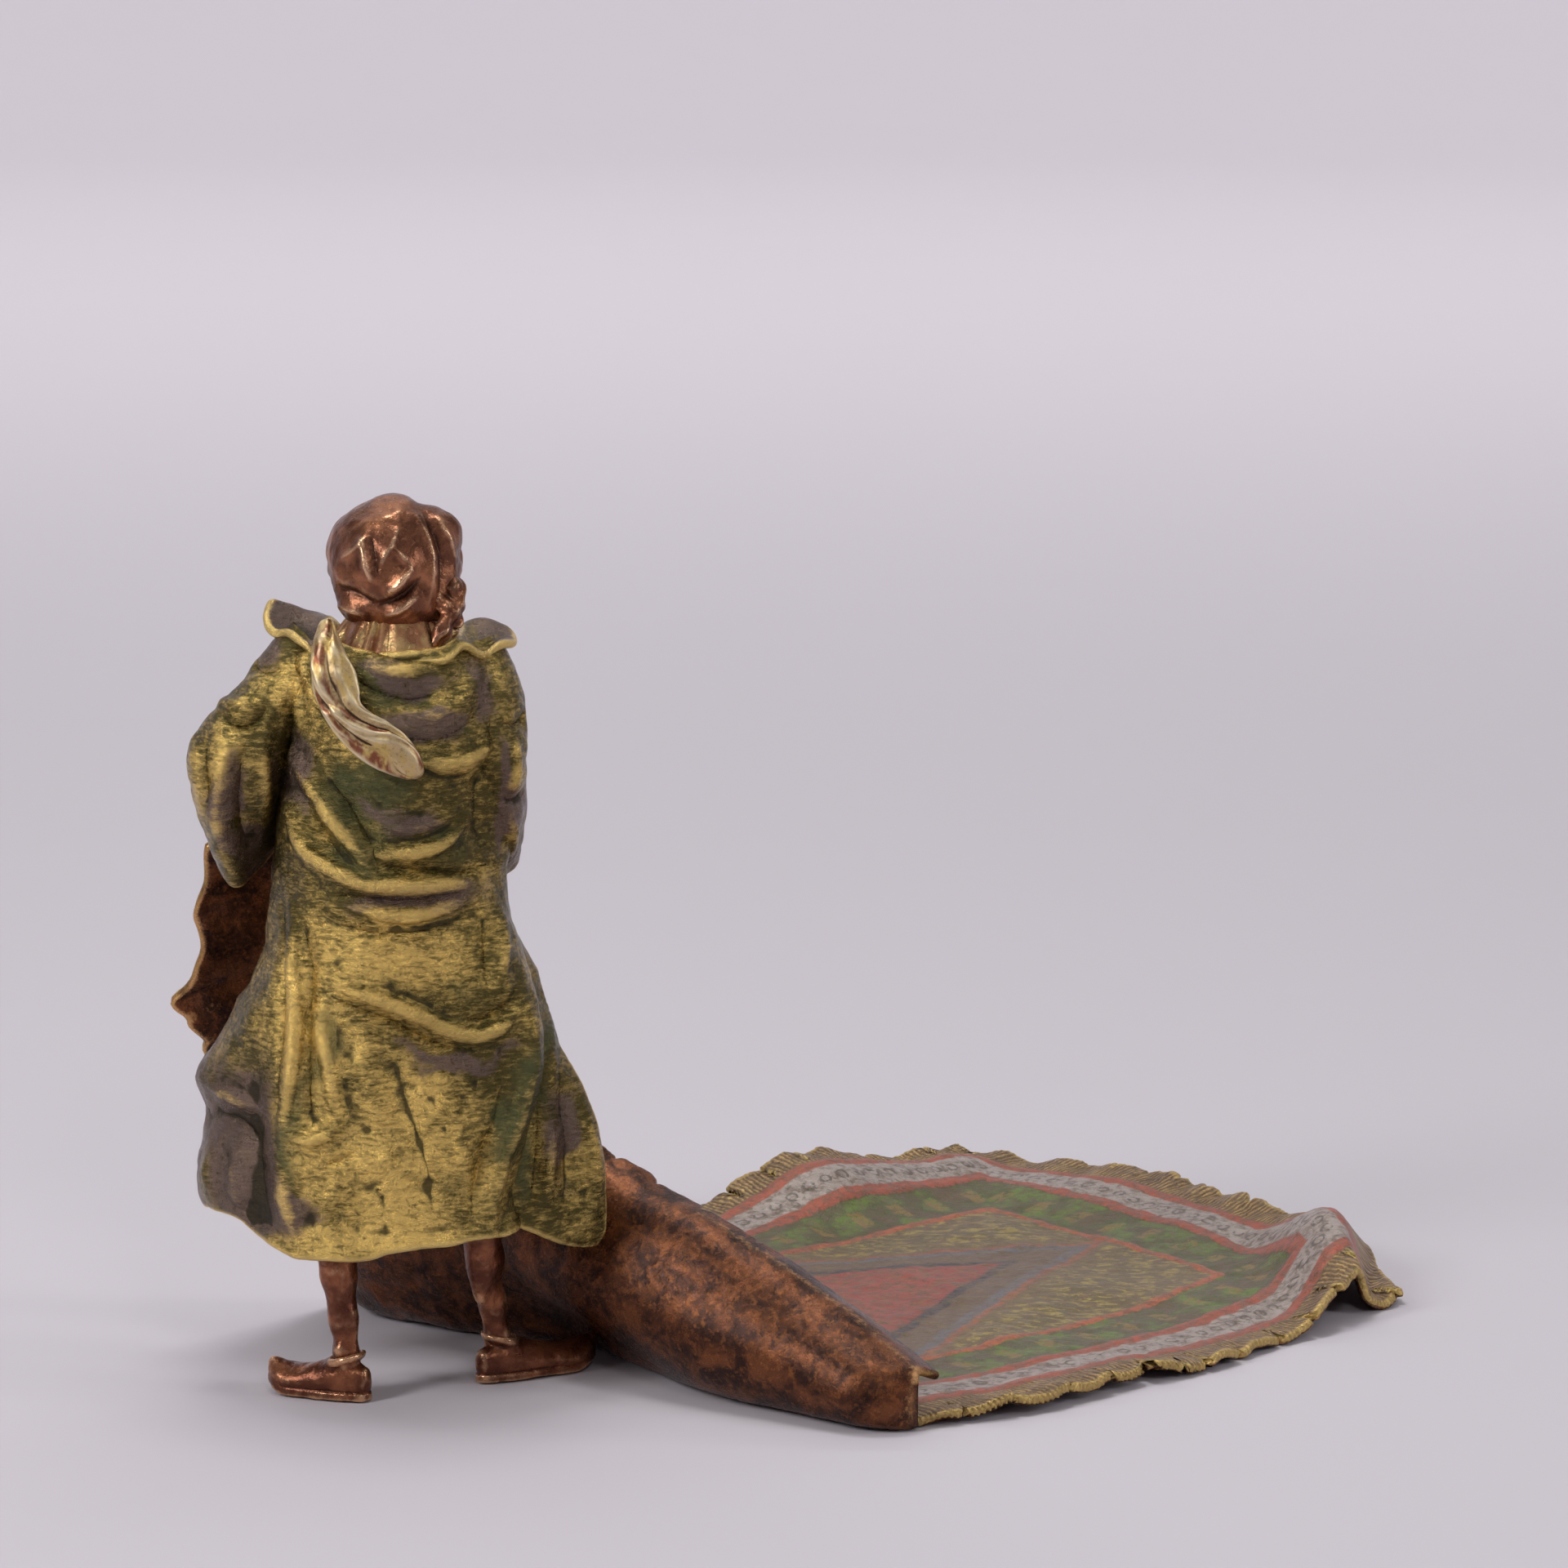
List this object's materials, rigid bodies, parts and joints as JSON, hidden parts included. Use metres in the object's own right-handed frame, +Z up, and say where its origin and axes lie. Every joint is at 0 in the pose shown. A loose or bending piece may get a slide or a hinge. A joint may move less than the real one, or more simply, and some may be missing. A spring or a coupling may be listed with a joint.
{
  "type": "bronze statuette of a carpet seller",
  "caption": "Cold-painted bronze figure in a long hooded robe that lifts one end of a patterned carpet spread flat on the ground",
  "frame": {"origin": "centre of the overall bounding box, on the ground plane", "axes": "+Z up; the figure faces -Y, so its back is at +Y; the carpet lies towards -X; +X is the longest extent"},
  "size_m": [0.2146, 0.1795, 0.1533],
  "materials": {
    "olive_gilt": "olive and gold cold paint over cast bronze, worn bright on the ridges",
    "brown_patina": "dark red-brown patina on cast bronze, glossy",
    "cloth_brown": "reddish-brown cold paint over cast bronze, copper on the ridges",
    "carpet_paint": "multi-coloured cold paint over cast bronze",
    "scarf_silver": "silver and red cold paint over cast bronze",
    "tunic_paint": "cream and brown cold paint over cast bronze",
    "bare_brass": "bare metal"
  },
  "bodies": {
    "root": {"carpet_field": "carpet_paint", "carpet_raised_end": "carpet_paint", "seam_solder": "bare_brass", "tunic": "tunic_paint", "cloak": "olive_gilt", "robe_right_flap": "olive_gilt", "hood_collar": "olive_gilt", "scarf_tail": "scarf_silver", "left_sleeve": "olive_gilt", "right_sleeve": "olive_gilt", "left_hand": "brown_patina", "right_hand": "brown_patina", "head": "brown_patina", "head_cloth": "cloth_brown", "head_cloth_knot": "cloth_brown", "left_leg": "brown_patina", "right_leg": "brown_patina", "left_slipper": "brown_patina", "right_slipper": "brown_patina", "neck_pin": "bare_brass", "left_leg_pin": "bare_brass", "right_leg_pin": "bare_brass", "left_arm_pin": "bare_brass", "right_arm_pin": "bare_brass", "left_hand_rivet": "bare_brass", "right_hand_rivet": "bare_brass"}
  },
  "joints": []
}
